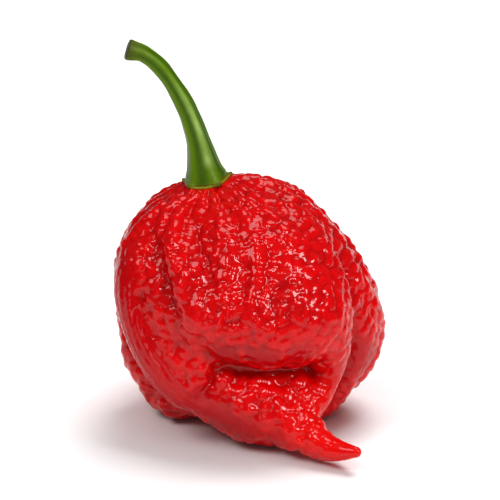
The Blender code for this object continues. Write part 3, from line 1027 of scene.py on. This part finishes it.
def waxy_skin(mottling):
    """Waxy ripe red skin: painted light on pimple tops and the tail, painted shade in folds,
    painted sheen where smooth.
    """
    finish, tree, skin = new_finish("waxy_red_skin", WAXY_SKIN)
    place = add_node(tree, "ShaderNodeTexCoord").outputs["Object"]
    clouds, specks = mottled(tree, mottling, place, RED_MOTTLING)
    # Painted light and shade: the pimple tops are painted lighter, the skin between them stays
    # darker.
    risen = stretched(tree, piece_share(tree, "risen"), *PIMPLE_TOP_LIGHT_SPAN)
    colour = layered(
        tree,
        blended(tree, stretched(tree, clouds, *RIPENESS), DEEP_RED, RIPE_RED),
        (
            (maths(tree, "MULTIPLY", risen, PIMPLE_TOP_LIGHT_COVER), PIMPLE_TOP_LIGHT_RED),
            (maths(tree, "MULTIPLY", piece_share(tree, "smooth"), SMOOTH_SHEEN_COVER), SMOOTH_SHEEN_RED),
            (maths(tree, "MULTIPLY", piece_share(tree, "tail"), TAIL_LIGHT_COVER), TAIL_LIGHT_RED),
            (maths(tree, "MULTIPLY", piece_share(tree, "fold_shade"), FOLD_SHADE_COVER), FOLD_SHADE_RED),
            (stretched(tree, specks, *RED_SPECKLES), SPECK_RED),
        ),
    )
    pores = add_node(
        tree, "ShaderNodeTexVoronoi", {"Vector": place, **PORES}, feature="SMOOTH_F1"
    ).outputs["Distance"]
    pores = maths(tree, "MULTIPLY", pores, -PORE_SHARE)
    height = maths(tree, "ADD", pores, maths(tree, "MULTIPLY", specks, PORE_SHARE))
    roughness = stretched(tree, specks, *RED_ROUGHNESS)
    finish_surface(tree, skin, colour, roughness, height, RED_GRAIN)
    return finish


def stem_green(mottling):
    """Fresh green stem: painted lighter on its ridges, darker in its grooves, with a painted
    highlight streak, olive and brown near its cut end.
    """
    finish, tree, skin = new_finish("fresh_green_stem", STEM_FLESH)
    place = add_node(tree, "ShaderNodeTexCoord").outputs["Object"]
    clouds, specks = mottled(tree, mottling, place, GREEN_MOTTLING)
    patches = stretched(tree, clouds, *HIGHLIGHT_PATCHES)
    colour = layered(
        tree,
        # Painted light on the ridges and painted shade in the grooves.
        blended(tree, piece_share(tree, "ridge"), GROOVE_SHADE_GREEN, RIDGE_LIGHT_GREEN),
        (
            (stretched(tree, clouds, *GREEN_CLOUDS), CLOUD_GREEN),
            (maths(tree, "MULTIPLY", piece_share(tree, "painted_highlight"), patches), HIGHLIGHT_GREEN),
            (stretched(tree, piece_share(tree, "up"), *OLIVE_END), OLIVE_GREEN),
            (stretched(tree, specks, *GREEN_SPECKLES), SPECK_GREEN),
            (maths(tree, "MULTIPLY", piece_share(tree, "rim"), MARGIN_COVER), MARGIN_YELLOW),
            (maths(tree, "MULTIPLY", piece_share(tree, "tooth"), TOOTH_COVER), TOOTH_BROWN),
            (piece_share(tree, "cut"), blended(tree, specks, DARK_BARK, LIGHT_BARK)),
        ),
    )
    roughness = stretched(tree, clouds, *GREEN_ROUGHNESS)
    finish_surface(tree, skin, colour, roughness, specks, GREEN_GRAIN)
    return finish


def white_floor():
    """A plain white floor that reaches past the edge of the picture."""
    mesh = bpy.data.meshes.new("floor")
    signs = ((-1.0, -1.0), (1.0, -1.0), (1.0, 1.0), (-1.0, 1.0))
    corners = [(x * FLOOR_REACH, y * FLOOR_REACH, 0.0) for x, y in signs]
    mesh.from_pydata(corners, [], [(0, 1, 2, 3)])
    mesh.materials.append(new_finish("white_paper", WHITE_PAPER)[0])
    floor = linked("floor", mesh)
    return floor


def look_from(shape, target, turn, height, distance):
    """Puts a lamp or the camera so far from the target, looking at it.

    It stands turned from the front round to the right, and so high, in degrees.
    """
    turn = math.radians(turn)
    height = math.radians(height)
    level = math.cos(height)
    away = Vector((math.sin(turn) * level, -math.cos(turn) * level, math.sin(height)))
    shape.location = target + distance * away
    shape.rotation_euler = away.to_track_quat("Z", "Y").to_euler()


def softbox(name, turn, height, distance, side, power, lit):
    """A square lamp that lights only the objects it is for."""
    light = bpy.data.lights.new(name, "AREA")
    light.shape = "SQUARE"
    light.size = side
    light.energy = power
    lamp = linked(name, light)
    look_from(lamp, Vector(LAMP_TARGET), turn, height, distance)
    only = bpy.data.collections.new(name + "_lights")
    for shape in lit:
        only.objects.link(shape)
    lamp.light_linking.receiver_collection = only


def studio(pepper):
    """A white floor, softboxes for the pepper and for the floor, and dim white light all round."""
    floor = [white_floor()]
    lit = {"pepper": pepper, "floor": floor, "pepper and floor": pepper + floor}
    for *values, for_what in SOFTBOXES:
        softbox(*values, lit[for_what])
    scene = bpy.context.scene
    scene.world = scene.world or bpy.data.worlds.new("pale_room")
    scene.world.use_nodes = True
    sky = scene.world.node_tree.nodes["Background"]
    sky.inputs["Color"].default_value = (1.0, 1.0, 1.0, 1.0)
    sky.inputs["Strength"].default_value = ROOM_LIGHT
    scene.view_settings.view_transform = "Standard"
    scene.view_settings.look = "None"


def camera():
    """The camera, with the whole pepper in its picture."""
    lens = bpy.data.cameras.new("camera")
    eye = linked("camera", lens)
    x, y, z = PICTURE_CENTRE
    aim = Vector((x - MIDDLE[0], y - MIDDLE[1], z)) * MM
    look_from(eye, aim, 0.0, CAMERA_HEIGHT, CAMERA_DISTANCE)
    lens.sensor_width = SENSOR_WIDTH
    lens.lens = SENSOR_WIDTH * CAMERA_DISTANCE / PICTURE_WIDTH
    lens.clip_start = NEAREST_SEEN
    lens.clip_end = FARTHEST_SEEN
    bpy.context.scene.camera = eye


camera()
mottling = mottling_group()
studio([red_pod(waxy_skin(mottling)), green_stem(stem_green(mottling))])
